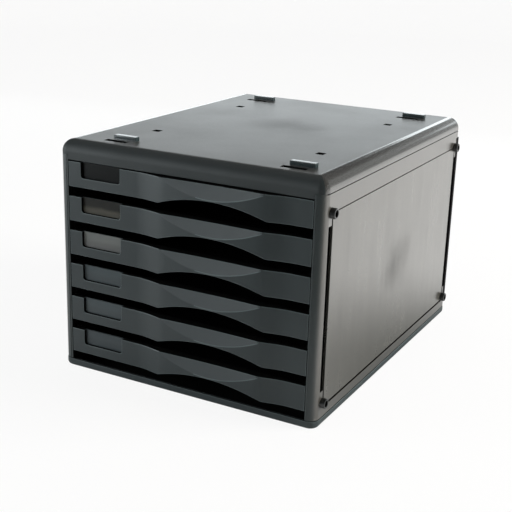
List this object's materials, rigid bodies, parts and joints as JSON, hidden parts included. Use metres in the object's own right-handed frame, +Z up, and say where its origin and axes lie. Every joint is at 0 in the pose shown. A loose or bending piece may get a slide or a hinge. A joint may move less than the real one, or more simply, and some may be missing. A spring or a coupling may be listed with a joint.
{
  "type": "letter tray stack with drawers",
  "caption": "Desktop drawer cabinet with shallow sliding letter trays, wave-shaped fronts with finger arches and label windows, side panels and stacking lugs.",
  "frame": {"origin": "centre of the housing's footprint, on the flat underside of the base", "axes": "+Z up, +X to the right as seen from the front, drawers open towards -Y"},
  "size_m": [0.2954, 0.3779, 0.244],
  "materials": {
    "housing_top": "satin, finely grained",
    "housing_side": "smooth semi-gloss",
    "housing_front": "satin",
    "drawer_front": "satin",
    "inner_black": "satin",
    "black_peg": "satin",
    "label_window": "clear smoked gloss"
  },
  "bodies": {
    "housing": {"base_tray": "housing_front", "top_cover": "housing_top", "left_side_frame": "housing_side", "right_side_frame": "housing_side", "left_side_panel": "housing_side", "right_side_panel": "housing_side", "right_corner_pegs": "black_peg", "left_runner_rack": "inner_black", "right_runner_rack": "inner_black", "back_panel": "inner_black"},
    "drawer_1": {"drawer_1_tray": "inner_black", "drawer_1_front": "drawer_front", "drawer_1_label_window": "label_window"},
    "drawer_2": {"drawer_2_tray": "inner_black", "drawer_2_front": "drawer_front", "drawer_2_label_window": "label_window"},
    "drawer_3": {"drawer_3_tray": "inner_black", "drawer_3_front": "drawer_front", "drawer_3_label_window": "label_window"},
    "drawer_4": {"drawer_4_tray": "inner_black", "drawer_4_front": "drawer_front", "drawer_4_label_window": "label_window"},
    "drawer_5": {"drawer_5_tray": "inner_black", "drawer_5_front": "drawer_front", "drawer_5_label_window": "label_window"},
    "drawer_6": {"drawer_6_tray": "inner_black", "drawer_6_front": "drawer_front", "drawer_6_label_window": "label_window"}
  },
  "joints": [
    {"name": "drawer_1_slide", "type": "slide", "parent": "housing", "child": "drawer_1", "axis": [0, -1, 0], "range_m": [0, 0.28]},
    {"name": "drawer_2_slide", "type": "slide", "parent": "housing", "child": "drawer_2", "axis": [0, -1, 0], "range_m": [0, 0.28]},
    {"name": "drawer_3_slide", "type": "slide", "parent": "housing", "child": "drawer_3", "axis": [0, -1, 0], "range_m": [0, 0.28]},
    {"name": "drawer_4_slide", "type": "slide", "parent": "housing", "child": "drawer_4", "axis": [0, -1, 0], "range_m": [0, 0.28]},
    {"name": "drawer_5_slide", "type": "slide", "parent": "housing", "child": "drawer_5", "axis": [0, -1, 0], "range_m": [0, 0.28]},
    {"name": "drawer_6_slide", "type": "slide", "parent": "housing", "child": "drawer_6", "axis": [0, -1, 0], "range_m": [0, 0.28]}
  ]
}
